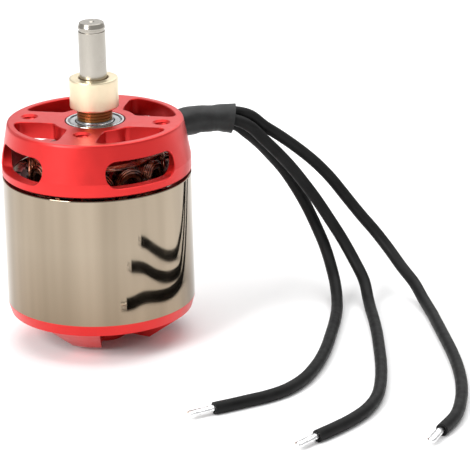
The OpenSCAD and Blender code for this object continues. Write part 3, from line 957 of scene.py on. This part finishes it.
def make_bearing(name, middle, steel, shield):
    """Rings with broken edges and two pressed shields. Balls and cage stay as in CAD."""
    half = BEARING_H / 2
    high, low = middle + half, middle - half
    outer = [(SHIELD_R, low + 0.05), (5.02, low), (5.34, low), (BEARING_R, low + 0.3),
             (BEARING_R, high - 0.3), (5.34, high), (5.02, high), (SHIELD_R, high - 0.05),
             (SHIELD_R, high - 0.5), (OUTER_RING_R, high - 0.5),
             (OUTER_RING_R, middle + 0.48), (4.82, middle), (OUTER_RING_R, middle - 0.48),
             (OUTER_RING_R, low + 0.5), (SHIELD_R, low + 0.5)]
    piece = smooth(lathe(name + "_outer_race", outer))
    finish_piece(piece, "stator", steel, [name + "_outer_ring"])
    inner = [(SHAFT_R, low + 0.15), (2.65, low), (3.33, low), (INNER_RING_R, low + 0.12),
             (INNER_RING_R, middle - 0.48), (3.29, middle), (INNER_RING_R, middle + 0.48),
             (INNER_RING_R, high - 0.12), (3.33, high), (2.65, high), (SHAFT_R, high - 0.15)]
    piece = smooth(lathe(name + "_inner_race", inner))
    finish_piece(piece, "rotor", steel, [name + "_inner_ring"])
    parts = []
    for sign in (-1, 1):
        def level(depth):
            return middle + sign * (half - depth)
        disc = [(3.66, level(0.2)), (3.72, level(0.14)), (4.52, level(0.12)),
                (4.66, level(0.18)), (4.72, level(0.4)), (4.93, level(0.42)),
                (4.95, level(0.49)), (3.66, level(0.46))]
        if sign < 0:
            disc.reverse()
        parts.append(lathe("part", disc))
    piece = merged(name + "_shield_pair", parts)
    finish_piece(smooth(piece), "stator", shield, [name + "_shields"])


def merged(name, parts):
    """Joins objects into one and removes the originals."""
    data = []
    for part in parts:
        points = [tuple(v.co / MM) for v in part.data.vertices]
        data.append((points, [tuple(p.vertices) for p in part.data.polygons]))
        bpy.data.objects.remove(part)
    return joined(name, data)


# ---------------------------------------------------------------- stator windings

SLOTS = 12
FIRST_COIL = 15
WIRE_R = 0.2
COIL_MID = -20.0
COIL_HALF_W = 2.95
COIL_HALF_ANGLE = math.radians(14.2)     # half of the sector that a coil may fill
COIL_HALF_H = 13.35
TURN_STEP = 0.43                         # from one turn to the next
LAYER_STEP = 0.37                        # from one layer to the one below
COIL_IN = 9.15                           # where a coil's inner turns begin, from the axis
COIL_OUT = 12.35
CROSSING_R = 10.1
CROSSING_Z = -6.37


def coil_loop(reach, half_w, half_h, rng, jitter):
    """One turn of wire round a tooth that points along X."""
    x = reach + rng.uniform(-jitter, jitter)
    w = half_w + rng.uniform(-jitter, jitter)
    h = half_h + rng.uniform(-jitter, jitter)
    rise = w * 0.95
    path = []
    for sign in (1, -1):
        for k in range(9):
            a = math.pi * k / 8
            path.append((x + rng.uniform(-jitter, jitter) * 0.4, sign * w * math.cos(a),
                         COIL_MID + sign * (h - rise + rise * math.sin(a))))
    return path


def make_windings(copper):
    """Twelve coils in three phases, each with two layers of turns over a core of more."""
    rng = random.Random(11)
    phases = {"winding_a": (0, 1, 6, 7), "winding_b": (2, 3, 8, 9), "winding_c": (4, 5, 10, 11)}
    for phase, teeth in phases.items():
        parts = []
        for tooth in teeth:
            angle = FIRST_COIL + tooth * 360 / SLOTS
            for layer in range(2):
                for i in range(8):
                    reach = COIL_IN + 0.1 + i * TURN_STEP + (0.2 if layer else 0)
                    half_w = min(COIL_HALF_W, reach * math.tan(COIL_HALF_ANGLE) - WIRE_R)
                    sunk = LAYER_STEP * layer
                    loop = coil_loop(reach, half_w - sunk, COIL_HALF_H - sunk, rng, 0.05)
                    points, faces = tube(turned(loop, angle), WIRE_R, 6, closed=True)
                    parts.append((points, faces))
            parts.append(coil_core(angle))
        for near, far in ((teeth[1], teeth[2]), (teeth[3], teeth[0] + SLOTS)):
            parts += crossing(FIRST_COIL + near * 360 / SLOTS, FIRST_COIL + far * 360 / SLOTS,
                              CROSSING_R + 0.55 * (teeth[0] / 2), rng)
        piece = smooth(joined(phase + "_turns", parts), 60)
        finish_piece(piece, "stator", copper, [phase])


def crossing(start, end, radius, rng):
    """A loose bundle of wires over the coils, from one coil to another."""
    parts = []
    for wire in range(5):
        out = 0.3 * (wire - 2)
        path = []
        for k in range(61):
            share = k / 60
            turn = math.radians(start + (end - start) * share + rng.uniform(-0.2, 0.2))
            swing = out + 0.12 * math.sin(TAU * share * 2.5 + wire * 1.3)
            r = radius + swing - 0.9 * abs(2 * share - 1) ** 6
            lift = CROSSING_Z - 0.9 * abs(2 * share - 1) ** 14
            path.append((r * math.cos(turn), r * math.sin(turn), lift))
        parts.append(tube(path, WIRE_R * 0.9, 6))
    return parts


def coil_core(angle):
    """The inner turns of a coil, as one band round the tooth."""
    points, faces = [], []
    count = 24
    for i in range(count):
        a = TAU * i / count
        for x, shrink in ((COIL_IN, 0.75), (COIL_OUT, 0.75), (COIL_OUT, 1.4), (COIL_IN, 1.4)):
            w = min(COIL_HALF_W, x * math.tan(COIL_HALF_ANGLE)) - shrink
            y = w * math.cos(a)
            z = COIL_MID + math.copysign(13.4 - shrink - w, math.sin(a)) + w * math.sin(a)
            points.append((x, y, z))
    for i in range(count):
        here, there = i * 4, (i + 1) % count * 4
        faces += [(here + k, here + (k + 1) % 4, there + (k + 1) % 4, there + k)
                  for k in range(4)]
    return turned(points, angle), faces


# ---------------------------------------------------------------- build

def keep_cad(name, material):
    """A CAD node that stays, with its own finish."""
    node = nodes[name]
    node.data.materials.clear()
    node.data.materials.append(material)


def build():
    make_camera()
    make_cords()
    make_studio()
    red, steel, race = red_anodised(), ground_steel(), bearing_steel()
    shield, copper, oxide = shield_steel(), enamel_copper(), black_oxide()
    make_end_cap(red)
    make_bell(red)
    make_can()
    make_shaft(steel)
    make_collar(turned_brass())
    make_bearing("upper", -2, race, shield)
    make_bearing("lower", TUBE_LOW + 2, race, shield)
    make_windings(copper)
    keep_cad("stator_core", core_epoxy())
    keep_cad("magnets", magnet_nickel())
    cage = cage_brass()
    for name in ("upper_cage", "lower_cage"):
        keep_cad(name, cage)
    for name in ("upper_balls", "lower_balls"):
        keep_cad(name, race)
    for name in ("hub_screws", "collar_screw"):
        keep_cad(name, oxide)
    for name in ("hub_spacer", "collar_shim"):
        keep_cad(name, shield)
    for name in ("phase_tail_a", "phase_tail_b", "phase_tail_c"):
        keep_cad(name, copper)


build()
